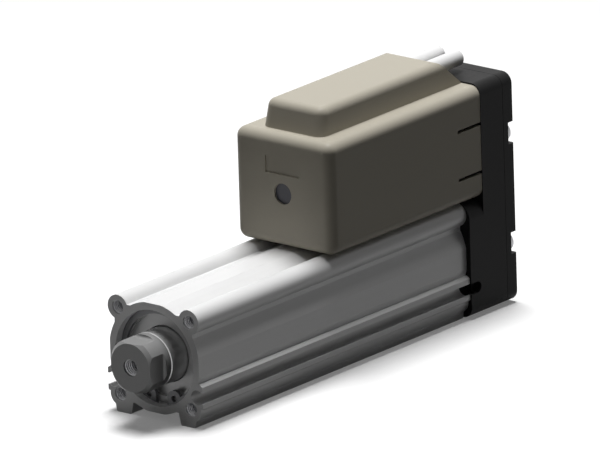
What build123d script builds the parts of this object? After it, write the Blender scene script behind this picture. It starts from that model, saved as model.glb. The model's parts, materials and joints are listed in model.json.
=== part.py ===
"""Electric rod actuator with a belt return: the motor beside it turns a ball screw by a toothed belt.

Frame: the rod axis is Y and the rod points to -Y. +Z is up. The origin lies on the rod axis,
on the front mounting face. All lengths are in millimetres.
"""

from build123d import *
from math import cos, pi, radians, tan
import os

os.makedirs("parts", exist_ok=True)

# Fits
running_clearance = 0.05
seat_clearance = 0.05
air_gap = 0.2

# Travel
stroke = 50.0
end_gap = 0.7

# Body extrusion, section square to the rod axis
hole_pitch = 25.5
boss_radius = 3.55
body_radius = 16.2
body_flat = 15.92
web_half = 14.0
web_bottom = 14.5
bore_radius = 13.0
seat_radius = 14.0
key_width = 4.0
axis_height = 18.0
foot_bottom_outer = 14.2
foot_bottom_inner = 8.9
foot_top_outer = 14.6
foot_top_inner = 8.2
foot_rise = 3.2
foot_edge = 0.3
rail_reach = 17.0
rail_top = 4.9
rail_bottom = 12.2
rail_slope = 0.7
groove_radius = 2.15
groove_x = 15.05
groove_z = 8.8
groove_mouth = 3.3

# Threads, drawn at their outside diameter
mount_thread = 4.0
mount_thread_depth = 10.0
foot_thread_depth = 5.5
foot_hole_spacing_x = 23.0
foot_hole_first = 15.0
foot_hole_spacing_y = 32.0

# Rod and socket
rod_radius = 8.0
rod_bore_radius = 5.5
rod_reach = 10.5
socket_joint = 2.0
socket_flats = 14.0
socket_flat_length = 6.4
socket_flat_round = 0.8
socket_chamfer = 1.0
socket_thread = 5.0
socket_thread_depth = 10.0
socket_spigot = 10.0
joint_chamfer = 0.2
rod_spigot_radius = 7.0
rod_spigot_length = 7.0

# Retaining ring in front of the rod cover
ring_setback = 2.6
ring_thickness = 1.2
ring_groove_depth = 0.6
ring_inner_radius = 12.5
ring_offset = 0.3
ring_gap = 4.1
lug_radius = 2.4
lug_hole_radius = 0.95
lug_x = 4.45
lug_z = 11.8

# Rod cover and what it carries
rod_cover_length = 17.0
rod_cover_recess = 1.2
rod_cover_recess_radius = 12.0
rod_cover_edge = 0.4
rod_pass_clearance = 0.3
front_lip = 1.4
seal_length = 3.0
seal_outer_radius = 10.6
seal_lip = 1.1
seal_wall = 1.0
bush_outer_radius = 9.5
bush_length = 10.0
oring_section = 1.6
oring_back = 4.4
bumper_thickness = 2.0
bumper_inner_radius = 8.8
bumper_outer_radius = 12.2

# Piston
piston_length = 22.0
piston_radius = 12.7
piston_edge = 0.5
wear_ring_front = 2.0
wear_ring_width = 5.0
wear_ring_depth = 1.3
magnet_front = 10.0
magnet_width = 4.0
magnet_depth = 2.1
stopper_length = 6.0
stopper_inner_radius = 11.0
nut_radius = 7.5
nut_flange_radius = 9.5
nut_flange = 3.0

# Screw, its bearings and the housing
screw_radius = 4.0
screw_front = 12.0
screw_end_chamfer = 0.8
journal_radius = 3.0
bearing_outer_radius = 9.5
bearing_width = 6.0
bearing_gap = 0.1
bearing_ring_wall = 1.7
bearing_ball_radius = 1.9
bearing_ball_count = 8
bearing_count = 2
housing_length = 21.3
housing_nose = 5.8
housing_nose_bore = 6.0
stopper_ring_inner_radius = 6.6
locknut_radius = 5.4
locknut_length = 3.0
locknut_slot = 1.6
locknut_slot_depth = 0.8

# Return box and plate
box_corner = 3.2
box_front_corner = 4.75
lower_depth = 16.2
upper_depth = 9.9
chamber_depth = 7.4
chamber_radius = 10.0
plate_thickness = 4.8
plate_edge = 0.4
plate_seam = 0.2
hub_bore_radius = 7.5
groove_pocket = 4.5
cover_rim_height = 4.0
cover_rim_gap = 0.1
cover_rim_span = 24.0
cover_rim_wall = 1.5

# Box bolts, plate screws and motor screws
bolt_thread = 3.0
bolt_head_radius = 2.75
bolt_head_height = 3.0
bolt_length = 14.0
bolt_seat = 2.8
bolt_head_clearance = 0.2
bolt_hole_clearance = 0.2
bolt_hex = 2.5
bolt_crown = 0.4
motor_screw_hex = 2.0
plate_screw_edge = 2.7
plate_screw_radius = 1.5
plate_screw_head_radius = 2.6
plate_screw_head_height = 2.4
plate_screw_length = 8.0
plate_screw_crown = 1.2
cross_width = 0.8
cross_span = 2.6
cross_depth = 1.2
hex_depth = 2.0
plate_notch_depth = 2.5
plate_notch_half = 3.2
motor_screw_radius = 1.25
motor_screw_head_radius = 2.25
motor_screw_head_height = 2.4
motor_screw_seat = 1.5
motor_screw_depth = 4.0

# Belt drive
belt_teeth_per_span = 16
pulley_teeth = 24
belt_width = 5.0
belt_back = 0.45
belt_line_offset = 0.25
belt_tooth_height = 0.5
belt_tooth_root = 1.15
belt_tooth_tip = 0.75
tooth_clearance = 0.08
pulley_flange = 0.7
pulley_flange_radius = 9.3
pulley_side_gap = 0.3
pulley_hub_radius = 5.0

# Motor
motor_square = 28.0
motor_side_gap = 0.45
motor_bottom_gap = 0.46
motor_corner = 2.5
motor_screw_edge = 2.5
front_bell_length = 9.0
stator_length = 26.8
rear_bell_length = 10.0
encoder_length = 16.0
motor_pilot_edge = 3.0
motor_pilot_height = 2.0
motor_shaft_radius = 2.5
motor_bearing_outer_radius = 6.5
motor_bearing_width = 4.0
motor_bearing_ball_radius = 1.2
motor_bearing_ball_count = 7
motor_bearing_wall = 1.1
bell_cavity_depth = 3.0
bearing_seat_inset = 0.6
shaft_pass_clearance = 0.5
rotor_depth = 4.1
rotor_inset = 1.2
rotor_stack = 11.0
stator_wall = 1.6
pole_count = 8
pole_width = 2.2
pole_shoe_depth = 1.2
shoe_gap = 2.5
coil_thickness = 0.9
coil_overhang = 1.6
coil_depth = 2.3
coil_outer_gap = 0.2
coil_clearance = 0.05
tie_screw_radius = 1.15
tie_screw_head_radius = 2.1
tie_screw_head_height = 1.6
tie_screw_engagement = 2.8
shaft_rear_reach = 2.0
override_slot = 0.8
override_slot_depth = 1.0

# Encoder
encoder_wall = 1.5
encoder_disc_radius = 9.0
encoder_disc_thickness = 0.6
encoder_hub_radius = 4.0
encoder_hub_length = 3.0
encoder_disc_inset = 6.0
encoder_ledge = 1.0
board_clearance = 0.3
board_thickness = 1.2
board_inset = 10.0
board_hole_radius = 4.5
sensor_width = 5.0
sensor_height = 4.0
sensor_gap = 0.3
sensor_rise = 7.0

# Motor cover
cover_step = 0.15
cover_gap = 0.44
cover_top_gap = 0.48
cover_length = 67.5
cover_wall = 1.3
cover_round = 2.95
hump_half_width = 10.92
hump_setback = 4.6
hump_height = 7.9
hump_side_draft = radians(5.2)
hump_front_draft = radians(10.3)
hump_rear_draft = radians(47.6)
hump_round = 2.5
hump_corner = 3.0
slit_length = 10.3
slit_width = 1.0
slit_spacing = 14.2
slit_drop = 1.0
panel_width = 12.0
panel_height = 4.9
panel_rise = 8.0
panel_depth = 0.4
access_radius = 3.1
cap_setback = 0.75
cap_flange = 0.8

# Cables
cable_radius = 2.35
cable_spacing = 6.6
cable_rise = 4.1
cable_end_setback = 6.9
cable_length = 27.6
grommet_margin = 1.8
grommet_length = 5.0
grommet_setback = 12.0

# Return box and motor cover, fitted round the motor
corner = hole_pitch / 2
cover_bottom = corner + boss_radius + cover_gap
shaft_spacing = cover_bottom + cover_wall + motor_bottom_gap + motor_square / 2
rim_outer = motor_square / 2 + motor_side_gap + cover_rim_wall
cover_half_width = rim_outer + cover_rim_gap + cover_wall
box_half_width = cover_half_width + cover_step
box_bottom = box_half_width
plate_screw_x = box_half_width - plate_screw_edge

# Sizes inside the motor
motor_screw_pitch = motor_square - 2 * motor_screw_edge
motor_pilot_radius = motor_square / 2 - motor_pilot_edge
stator_cavity_radius = motor_square / 2 - stator_wall
rotor_radius = stator_cavity_radius - rotor_depth
coil_outer_radius = stator_cavity_radius - coil_outer_gap
coil_inner_radius = coil_outer_radius - coil_depth

# Stations along the rod axis, worked out from the sizes above
ring_back = ring_setback + ring_thickness
rod_cover_back = ring_back + rod_cover_length
piston_front = rod_cover_back + bumper_thickness + end_gap + stroke
piston_back = piston_front + piston_length
rear_bumper_front = piston_back + end_gap
housing_front = rear_bumper_front + bumper_thickness
body_length = housing_front + housing_length
bearing_front = housing_front + housing_nose
bearing_pitch = bearing_width + bearing_gap
bearing_back = bearing_front + bearing_count * bearing_pitch
plate_front = body_length + lower_depth
plate_back = plate_front + plate_thickness
motor_face = plate_front - upper_depth
chamber_floor = plate_front - chamber_depth
box_top = shaft_spacing + box_half_width
pulley_front = chamber_floor + pulley_side_gap
pulley_back = plate_front - pulley_side_gap
belt_back_station = (pulley_front + pulley_back + belt_width) / 2

# Where fasteners stand
bolt_seat_station = body_length + bolt_seat
motor_screw_station = motor_face + motor_screw_seat
rod_pass_radius = rod_radius + rod_pass_clearance

# Rod cover and piston stations
rod_cover_face = ring_back + rod_cover_recess
seal_front = rod_cover_face + front_lip
seal_back = seal_front + seal_length
bush_front = seal_back + seal_wall
oring_groove = oring_section + 2 * seat_clearance
oring_front = rod_cover_back - oring_back - oring_groove
oring_groove_radius = seat_radius - oring_section - seat_clearance
socket_spigot_back = socket_spigot - socket_joint
wear_front = piston_front + wear_ring_front
magnet_station = piston_front + magnet_front
stopper_front = piston_back - stopper_length
locknut_back = bearing_back + locknut_length

# Motor and encoder stations
stator_back = motor_face - front_bell_length
stator_front = stator_back - stator_length
encoder_back = stator_front - rear_bell_length
encoder_front = encoder_back - encoder_length
front_seat_back = motor_face - bearing_seat_inset
front_seat_front = front_seat_back - motor_bearing_width
tie_screw_seat = encoder_back + tie_screw_head_height + bolt_head_clearance
rear_seat_front = stator_front - bell_cavity_depth - motor_bearing_width
shaft_front = encoder_front - shaft_rear_reach
stator_bore_radius = rotor_radius + air_gap
board_front = encoder_front + board_inset
disc_front = encoder_front + encoder_disc_inset

# Motor cover
cover_front = motor_face - cover_length
cover_top = box_top - cover_top_gap
cover_height = cover_top - cover_bottom
cover_middle = (cover_top + cover_bottom) / 2
hump_top = cover_top + hump_height
roof = hump_top - cover_wall
slit_height = shaft_spacing - slit_drop
cable_height = cover_top + cable_rise
cable_end = plate_back - cable_end_setback

# Belt drive sizes worked out from the shaft spacing
tooth_pitch = shaft_spacing / belt_teeth_per_span
pitch_radius = pulley_teeth * tooth_pitch / (2 * pi)
pulley_radius = pitch_radius - belt_line_offset
belt_inner_radius = pulley_radius + running_clearance
belt_outer_radius = pitch_radius + belt_back
tooth_angle = 360 / pulley_teeth


def across(station, height=0):
    """Sketch plane square to the rod axis: local x is X, local y is Z, and it faces forward."""
    return Plane(origin=(0, station, height), x_dir=(1, 0, 0), z_dir=(0, -1, 0))


def ring_profile(front, back, inner, outer, height=0, mode=Mode.ADD):
    """Half section of a ring about an axis at the given height above the rod axis, on the YZ plane."""
    with Locations(((front + back) / 2, height + (inner + outer) / 2)):
        Rectangle(back - front, outer - inner, mode=mode)


def plate_outline():
    """Outline shared by the return box and its plate, on a plane square to the rod axis."""
    with Locations((0, (box_top - box_bottom) / 2)):
        RectangleRounded(2 * box_half_width, box_top + box_bottom, box_corner)


def motor_outline():
    """Square outline of the motor with cut corners, on a plane square to the rod axis."""
    with Locations((0, shaft_spacing)):
        outline = Rectangle(motor_square, motor_square)
    chamfer(outline.vertices(), motor_corner)


def save(piece, name):
    """Label a finished piece and write it."""
    piece.part.label = name
    export_step(piece.part, f"parts/{name}.step")


motor_axis = Axis((0, 0, shaft_spacing), (0, 1, 0))

# Body tube
with BuildPart() as body_tube:
    with BuildSketch(across(body_length)):
        Circle(body_radius)
        Rectangle(2 * body_flat, 2 * body_flat, mode=Mode.INTERSECT)
        with Locations((0, (web_half - web_bottom) / 2)):
            Rectangle(2 * web_half, web_half + web_bottom)
        with GridLocations(hole_pitch, hole_pitch, 2, 2):
            Circle(boss_radius)
        with BuildLine():
            Polyline(
                (foot_top_inner, -corner),
                (foot_top_inner, -axis_height + foot_rise),
                (foot_bottom_inner, -axis_height + foot_edge),
                (foot_bottom_inner + foot_edge, -axis_height),
                (foot_bottom_outer - foot_edge, -axis_height),
                (foot_bottom_outer, -axis_height + foot_edge),
                (foot_top_outer, -corner - boss_radius * 0.7),
                (foot_top_outer, -corner),
                close=True,
            )
        make_face()
        with BuildLine():
            Polyline(
                (web_half, -rail_top),
                (body_flat, -rail_top),
                (rail_reach, -rail_top - rail_slope),
                (rail_reach, -rail_bottom + foot_edge),
                (rail_reach - foot_edge, -rail_bottom),
                (web_half, -rail_bottom),
                close=True,
            )
        make_face()
        mirror(about=Plane.YZ)
        with Locations((groove_x, -groove_z), (-groove_x, -groove_z)):
            Circle(groove_radius, mode=Mode.SUBTRACT)
        with Locations((rail_reach, -groove_z), (-rail_reach, -groove_z)):
            Rectangle(2 * (rail_reach - groove_x), groove_mouth, mode=Mode.SUBTRACT)
        Circle(bore_radius, mode=Mode.SUBTRACT)
        Rectangle(2 * seat_radius, key_width, mode=Mode.SUBTRACT)
    extrude(amount=body_length)
    with BuildSketch(Plane.YZ):
        ring_profile(0, rod_cover_back, 0, seat_radius)
        ring_profile(
            ring_setback - seat_clearance, ring_back + seat_clearance, 0, seat_radius + ring_groove_depth,
        )
        ring_profile(housing_front, body_length, 0, seat_radius)
    revolve(axis=Axis.Y, mode=Mode.SUBTRACT)
    with BuildSketch(across(0)):
        with GridLocations(hole_pitch, hole_pitch, 2, 2):
            Circle(mount_thread / 2)
    extrude(amount=-mount_thread_depth, mode=Mode.SUBTRACT)
    with BuildSketch(across(body_length)):
        with GridLocations(hole_pitch, hole_pitch, 2, 2):
            Circle(bolt_thread / 2)
    extrude(amount=bolt_length - bolt_seat + 1, mode=Mode.SUBTRACT)
    with BuildSketch(Plane.XY.offset(-axis_height)):
        with Locations((0, foot_hole_first + foot_hole_spacing_y / 2)):
            with GridLocations(foot_hole_spacing_x, foot_hole_spacing_y, 2, 2):
                Circle(mount_thread / 2)
    extrude(amount=foot_thread_depth, mode=Mode.SUBTRACT)
save(body_tube, "body_tube")

# Retaining ring, open at the bottom between two lugs
with BuildPart() as retaining_ring:
    with BuildSketch(across(ring_back)):
        Circle(seat_radius + ring_groove_depth - seat_clearance)
        with Locations((0, -ring_offset)):
            Circle(ring_inner_radius, mode=Mode.SUBTRACT)
        with Locations((lug_x, -lug_z), (-lug_x, -lug_z)):
            Circle(lug_radius)
        Circle(seat_radius + ring_groove_depth - seat_clearance, mode=Mode.INTERSECT)
        with Locations((0, -seat_radius)):
            Rectangle(ring_gap, 2 * seat_radius - 2 * rod_radius, mode=Mode.SUBTRACT)
        with Locations((lug_x, -lug_z), (-lug_x, -lug_z)):
            Circle(lug_hole_radius, mode=Mode.SUBTRACT)
    extrude(amount=ring_thickness)
save(retaining_ring, "retaining_ring")

# Rod cover
with BuildPart() as rod_cover:
    with BuildSketch(Plane.YZ):
        ring_profile(ring_back, rod_cover_back, rod_pass_radius, seat_radius - seat_clearance)
        ring_profile(ring_back, rod_cover_face, 0, rod_cover_recess_radius, mode=Mode.SUBTRACT)
        ring_profile(seal_front, seal_back, 0, seal_outer_radius, mode=Mode.SUBTRACT)
        ring_profile(bush_front, rod_cover_back, 0, bush_outer_radius, mode=Mode.SUBTRACT)
        ring_profile(
            oring_front, oring_front + oring_groove, oring_groove_radius, seat_radius, mode=Mode.SUBTRACT
        )
    revolve(axis=Axis.Y)
    back_rim = rod_cover.edges().filter_by(GeomType.CIRCLE).group_by(Axis.Y)[-1].sort_by(SortBy.RADIUS)[-1]
    chamfer(back_rim, rod_cover_edge)
save(rod_cover, "rod_cover")

# O-ring round the rod cover
with BuildPart() as cover_oring:
    with BuildSketch(Plane.YZ):
        with Locations((oring_front + oring_groove / 2, oring_groove_radius + oring_section / 2)):
            Circle(oring_section / 2)
    revolve(axis=Axis.Y)
save(cover_oring, "cover_oring")

# Rod seal, with a lip that leans forward onto the rod
with BuildPart() as rod_seal:
    with BuildSketch(Plane.YZ):
        with BuildLine():
            Polyline(
                (seal_front, rod_radius + running_clearance),
                (seal_front + seal_lip / 2, rod_radius + running_clearance),
                (seal_front + seal_lip, rod_radius + seal_lip),
                (seal_back - seal_lip, rod_radius + seal_lip),
                (seal_back - seal_lip / 2, rod_radius + running_clearance),
                (seal_back, rod_radius + running_clearance),
                (seal_back, seal_outer_radius),
                (seal_front, seal_outer_radius),
                close=True,
            )
        make_face()
    revolve(axis=Axis.Y)
save(rod_seal, "rod_seal")

# Rod bush
with BuildPart() as rod_bush:
    with BuildSketch(Plane.YZ):
        ring_profile(bush_front, bush_front + bush_length, rod_radius + running_clearance, bush_outer_radius)
    revolve(axis=Axis.Y)
save(rod_bush, "rod_bush")

# Bumpers that the piston meets at each end
for name, front in (("front_bumper", rod_cover_back), ("rear_bumper", rear_bumper_front)):
    with BuildPart() as bumper:
        with BuildSketch(Plane.YZ):
            ring_profile(front, front + bumper_thickness, bumper_inner_radius, bumper_outer_radius)
        revolve(axis=Axis.Y)
    save(bumper, name)

# Rod socket: the front end of the rod, with four wrench flats and a tapped hole
with BuildPart() as rod_socket:
    with BuildSketch(Plane.YZ):
        ring_profile(-rod_reach, -socket_joint, 0, rod_radius)
        ring_profile(-socket_joint, socket_spigot_back, 0, rod_bore_radius)
    revolve(axis=Axis.Y)
    rims = rod_socket.edges().filter_by(GeomType.CIRCLE).group_by(Axis.Y)
    chamfer(rims[0], socket_chamfer)
    joint_rim = rims[1].sort_by(SortBy.RADIUS)[-1]
    chamfer(joint_rim, joint_chamfer)
    with BuildSketch(Plane.YZ) as flat_cut:
        with Locations((-rod_reach + socket_flat_length / 2, socket_flats / 2 + rod_radius / 2)):
            Rectangle(socket_flat_length, rod_radius)
        inner_corner = flat_cut.vertices().group_by(Axis.Y)[0].sort_by(Axis.X)[-1]
        fillet(inner_corner, socket_flat_round)
    flat_cutter = extrude(amount=rod_radius, both=True, mode=Mode.PRIVATE)
    for turn in range(4):
        add(flat_cutter.rotate(Axis.Y, 90 * turn), mode=Mode.SUBTRACT)
    with BuildSketch(across(-rod_reach)):
        Circle(socket_thread / 2)
    extrude(amount=-socket_thread_depth, mode=Mode.SUBTRACT)
save(rod_socket, "rod_socket")

# Piston rod, a hollow tube screwed into the piston
with BuildPart() as piston_rod:
    with BuildSketch(Plane.YZ):
        ring_profile(-socket_joint, piston_front, rod_bore_radius, rod_radius)
        ring_profile(piston_front, piston_front + rod_spigot_length, rod_bore_radius, rod_spigot_radius)
    revolve(axis=Axis.Y)
    front_rim = piston_rod.edges().filter_by(GeomType.CIRCLE).group_by(Axis.Y)[0].sort_by(SortBy.RADIUS)[-1]
    chamfer(front_rim, joint_chamfer)
save(piston_rod, "piston_rod")

# Piston, grooved for its rings
with BuildPart() as piston:
    with BuildSketch(Plane.YZ):
        ring_profile(piston_front, piston_back, nut_radius, piston_radius)
        ring_profile(
            piston_front, piston_front + rod_spigot_length, rod_spigot_radius, nut_radius
        )
        ring_profile(
            wear_front, wear_front + wear_ring_width, piston_radius - wear_ring_depth, piston_radius,
            mode=Mode.SUBTRACT,
        )
        ring_profile(
            magnet_station, magnet_station + magnet_width, piston_radius - magnet_depth, piston_radius,
            mode=Mode.SUBTRACT,
        )
        ring_profile(stopper_front, piston_back, stopper_inner_radius, piston_radius, mode=Mode.SUBTRACT)
        ring_profile(piston_back - nut_flange, piston_back, nut_radius, nut_flange_radius, mode=Mode.SUBTRACT)
    revolve(axis=Axis.Y)
    face_rim = piston.edges().filter_by(GeomType.CIRCLE).group_by(Axis.Y)[0].sort_by(SortBy.RADIUS)[-1]
    chamfer(face_rim, piston_edge)
save(piston, "piston")

# Screw nut, held in the piston by its flange
with BuildPart() as screw_nut:
    with BuildSketch(Plane.YZ):
        nut_inner = screw_radius + running_clearance
        ring_profile(piston_front + rod_spigot_length, piston_back, nut_inner, nut_radius)
        ring_profile(piston_back - nut_flange, piston_back, nut_inner, nut_flange_radius)
    revolve(axis=Axis.Y)
save(screw_nut, "screw_nut")

# Rings in the piston's grooves
piston_rings = (
    (
        "wear_ring", wear_front, wear_ring_width,
        piston_radius - wear_ring_depth, bore_radius - running_clearance,
    ),
    ("magnet_ring", magnet_station, magnet_width, piston_radius - magnet_depth, piston_radius),
)
for name, front, width, inner, outer in piston_rings:
    with BuildPart() as piston_ring:
        with BuildSketch(Plane.YZ):
            ring_profile(front, front + width, inner, outer)
        revolve(axis=Axis.Y)
    save(piston_ring, name)

# Rotation stopper, with two keys that slide in the tube's keyways
with BuildPart() as rotation_stopper:
    with BuildSketch(across(piston_back)):
        Circle(bore_radius - running_clearance)
        key_reach = seat_radius - running_clearance
        Rectangle(2 * key_reach, key_width - 2 * running_clearance)
        Circle(stopper_inner_radius, mode=Mode.SUBTRACT)
    extrude(amount=stopper_length)
save(rotation_stopper, "rotation_stopper")

# Screw shaft, with a journal for the bearings, the locknut and the pulley
with BuildPart() as screw_shaft:
    with BuildSketch(Plane.YZ):
        ring_profile(screw_front, bearing_front, 0, screw_radius)
        ring_profile(bearing_front, pulley_back, 0, journal_radius)
    revolve(axis=Axis.Y)
    shaft_rims = screw_shaft.edges().filter_by(GeomType.CIRCLE).group_by(Axis.Y)
    chamfer(shaft_rims[0], screw_end_chamfer)
save(screw_shaft, "screw_shaft")

# Bearing housing in the back of the tube
with BuildPart() as bearing_housing:
    with BuildSketch(Plane.YZ):
        ring_profile(housing_front, body_length, housing_nose_bore, seat_radius - seat_clearance)
        ring_profile(bearing_front, body_length, 0, bearing_outer_radius, mode=Mode.SUBTRACT)
    revolve(axis=Axis.Y)
    nose_edges = bearing_housing.edges().filter_by(GeomType.CIRCLE).group_by(Axis.Y)[0]
    nose_rim = nose_edges.sort_by(SortBy.RADIUS)[-1]
    chamfer(nose_rim, rod_cover_edge)
save(bearing_housing, "bearing_housing")



def bearing_ring(stations, width, inner, outer, track, ball_radius, height, axis):
    """Turn the rings of bearings that stand on one axis, each with a ball track at the track radius."""
    for front in stations:
        with BuildSketch(Plane.YZ) as section:
            ring_profile(front, front + width, inner, outer, height=height)
            with Locations((front + width / 2, height + track)):
                Circle(ball_radius + running_clearance, mode=Mode.SUBTRACT)
        revolve(section.sketch, axis=axis)


def bearing_ball_set(stations, width, track, ball_radius, count, height):
    """Place the balls of bearings that stand on one axis."""
    for front in stations:
        with Locations(across(front + width / 2, height)):
            with PolarLocations(track, count):
                Sphere(ball_radius)


# Screw bearings
screw_bearings = [bearing_front + place * bearing_pitch for place in range(bearing_count)]
bearing_track = (journal_radius + bearing_outer_radius) / 2
with BuildPart() as bearing_outer_rings:
    outer_ring_inner = bearing_outer_radius - bearing_ring_wall
    bearing_ring(
        screw_bearings, bearing_width, outer_ring_inner, bearing_outer_radius, bearing_track,
        bearing_ball_radius, 0, Axis.Y,
    )
save(bearing_outer_rings, "bearing_outer_rings")

with BuildPart() as bearing_inner_rings:
    inner_ring_outer = journal_radius + bearing_ring_wall
    bearing_ring(
        screw_bearings, bearing_width, journal_radius, inner_ring_outer, bearing_track,
        bearing_ball_radius, 0, Axis.Y,
    )
save(bearing_inner_rings, "bearing_inner_rings")

with BuildPart() as bearing_balls:
    bearing_ball_set(screw_bearings, bearing_width, bearing_track, bearing_ball_radius, bearing_ball_count, 0)
save(bearing_balls, "bearing_balls")

# Ring that holds the outer rings in the housing
with BuildPart() as bearing_stopper:
    with BuildSketch(Plane.YZ):
        ring_profile(bearing_back, body_length, stopper_ring_inner_radius, bearing_outer_radius)
    revolve(axis=Axis.Y)
save(bearing_stopper, "bearing_stopper")

# Locknut that clamps the inner rings, with four wrench slots
with BuildPart() as bearing_locknut:
    with BuildSketch(across(locknut_back)):
        Circle(locknut_radius)
        Circle(journal_radius, mode=Mode.SUBTRACT)
        with PolarLocations(locknut_radius, 4):
            Rectangle(2 * locknut_slot_depth, locknut_slot, mode=Mode.SUBTRACT)
    extrude(amount=locknut_length)
save(bearing_locknut, "bearing_locknut")



def tooth_form(root_radius, tip_radius, root_width, tip_width, mode=Mode.ADD):
    """One tooth or tooth gap that points inward along local x, between two radii."""
    Polygon(
        (root_radius, -root_width / 2),
        (root_radius, root_width / 2),
        (tip_radius, tip_width / 2),
        (tip_radius, -tip_width / 2),
        align=None,
        mode=mode,
    )


def pulley_wheel(height, bore):
    """Toothed wheel between two flanges, on the axis at the given height."""
    toothed_front = pulley_front + pulley_flange
    toothed_back = pulley_back - pulley_flange
    with BuildSketch(across(toothed_back, height)) as wheel:
        Circle(pulley_radius)
        with PolarLocations(0, pulley_teeth):
            tooth_form(
                pulley_radius + tooth_clearance,
                pulley_radius - belt_tooth_height - tooth_clearance,
                belt_tooth_root + 2 * tooth_clearance,
                belt_tooth_tip + 2 * tooth_clearance,
                mode=Mode.SUBTRACT,
            )
        Circle(bore, mode=Mode.SUBTRACT)
    extrude(wheel.sketch, amount=toothed_back - toothed_front)
    for back in (toothed_front, pulley_back):
        with BuildSketch(across(back, height)) as flange:
            Circle(pulley_flange_radius)
            Circle(bore, mode=Mode.SUBTRACT)
        extrude(flange.sketch, amount=pulley_flange)


# Pulleys
with BuildPart() as driven_pulley:
    pulley_wheel(0, journal_radius)
    with BuildSketch(Plane.YZ):
        ring_profile(locknut_back, pulley_front, journal_radius, pulley_hub_radius)
    revolve(axis=Axis.Y)
save(driven_pulley, "driven_pulley")

with BuildPart() as drive_pulley:
    pulley_wheel(shaft_spacing, motor_shaft_radius)
save(drive_pulley, "drive_pulley")

# Toothed belt, in mesh with both pulleys
with BuildPart() as timing_belt:
    with BuildSketch(across(belt_back_station)):
        with Locations((0, shaft_spacing / 2)):
            SlotCenterToCenter(shaft_spacing, 2 * belt_outer_radius, rotation=90)
            SlotCenterToCenter(shaft_spacing, 2 * belt_inner_radius, rotation=90, mode=Mode.SUBTRACT)
        tip_radius = pulley_radius - belt_tooth_height
        for tooth in range(pulley_teeth // 2 + 1):
            with PolarLocations(0, 1, start_angle=-tooth * tooth_angle):
                tooth_form(belt_outer_radius - belt_back, tip_radius, belt_tooth_root, belt_tooth_tip)
            with Locations((0, shaft_spacing)):
                with PolarLocations(0, 1, start_angle=tooth * tooth_angle):
                    tooth_form(belt_outer_radius - belt_back, tip_radius, belt_tooth_root, belt_tooth_tip)
        for tooth in range(1, belt_teeth_per_span):
            for side_angle in (0, 180):
                with Locations(Location((0, tooth * tooth_pitch), side_angle)):
                    tooth_form(belt_outer_radius - belt_back, tip_radius, belt_tooth_root, belt_tooth_tip)
    extrude(amount=belt_width)
save(timing_belt, "timing_belt")

# Return box, with the belt chamber, screw seats and pockets that carry on the switch grooves
with BuildPart() as return_box:
    with BuildSketch(across(plate_front)):
        plate_outline()
    extrude(amount=upper_depth)
    with BuildSketch(across(motor_face)) as shoulder:
        shoulder_top = corner + boss_radius
        with Locations((0, (shoulder_top - box_bottom) / 2)):
            block = Rectangle(2 * box_half_width, shoulder_top + box_bottom)
        fillet(block.vertices().group_by(Axis.Y)[-1], box_front_corner)
        fillet(shoulder.vertices().group_by(Axis.Y)[0], box_corner)
    extrude(amount=lower_depth - upper_depth)
    with BuildSketch(across(motor_face)):
        rim_middle = rim_outer - cover_rim_wall / 2
        with Locations((rim_middle, shaft_spacing), (-rim_middle, shaft_spacing)):
            Rectangle(cover_rim_wall, cover_rim_span)
    extrude(amount=cover_rim_height)
    with BuildSketch(across(plate_front)):
        with Locations((0, shaft_spacing / 2)):
            SlotCenterToCenter(shaft_spacing, 2 * chamber_radius, rotation=90)
    extrude(amount=chamber_depth, mode=Mode.SUBTRACT)
    with BuildSketch(across(chamber_floor)):
        Circle(hub_bore_radius)
    extrude(amount=chamber_floor - body_length, mode=Mode.SUBTRACT)
    with BuildSketch(across(chamber_floor, shaft_spacing)):
        Circle(motor_pilot_radius + seat_clearance)
    extrude(amount=chamber_floor - motor_face, mode=Mode.SUBTRACT)
    with BuildSketch(across(plate_front)):
        with GridLocations(hole_pitch, hole_pitch, 2, 2):
            Circle(bolt_head_radius + bolt_head_clearance)
    extrude(amount=plate_front - bolt_seat_station, mode=Mode.SUBTRACT)
    with BuildSketch(across(bolt_seat_station)):
        with GridLocations(hole_pitch, hole_pitch, 2, 2):
            Circle(bolt_thread / 2 + bolt_hole_clearance)
    extrude(amount=bolt_seat, mode=Mode.SUBTRACT)
    with BuildSketch(across(plate_front, shaft_spacing)):
        with GridLocations(motor_screw_pitch, motor_screw_pitch, 2, 2):
            Circle(motor_screw_head_radius + bolt_head_clearance)
    extrude(amount=plate_front - motor_screw_station, mode=Mode.SUBTRACT)
    with BuildSketch(across(motor_screw_station, shaft_spacing)):
        with GridLocations(motor_screw_pitch, motor_screw_pitch, 2, 2):
            Circle(motor_screw_radius + bolt_hole_clearance)
    extrude(amount=motor_screw_seat, mode=Mode.SUBTRACT)
    with BuildSketch(across(plate_front, shaft_spacing / 2)):
        with GridLocations(2 * plate_screw_x, shaft_spacing, 2, 2):
            Circle(plate_screw_radius)
    extrude(amount=plate_screw_length, mode=Mode.SUBTRACT)
    with BuildSketch(across(body_length + groove_pocket - groove_mouth / 2)):
        with Locations((groove_x, -groove_z), (-groove_x, -groove_z)):
            Circle(groove_radius)
    extrude(amount=groove_pocket - groove_mouth / 2, mode=Mode.SUBTRACT)
    with BuildSketch(Plane.YZ.offset(groove_x)):
        with Locations((body_length, -groove_z)):
            SlotOverall(2 * groove_pocket, groove_mouth)
    extrude(amount=box_half_width - groove_x, mode=Mode.SUBTRACT)
    with BuildSketch(Plane.YZ.offset(-groove_x)):
        with Locations((body_length, -groove_z)):
            SlotOverall(2 * groove_pocket, groove_mouth)
    extrude(amount=groove_x - box_half_width, mode=Mode.SUBTRACT)
save(return_box, "return_box")

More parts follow.
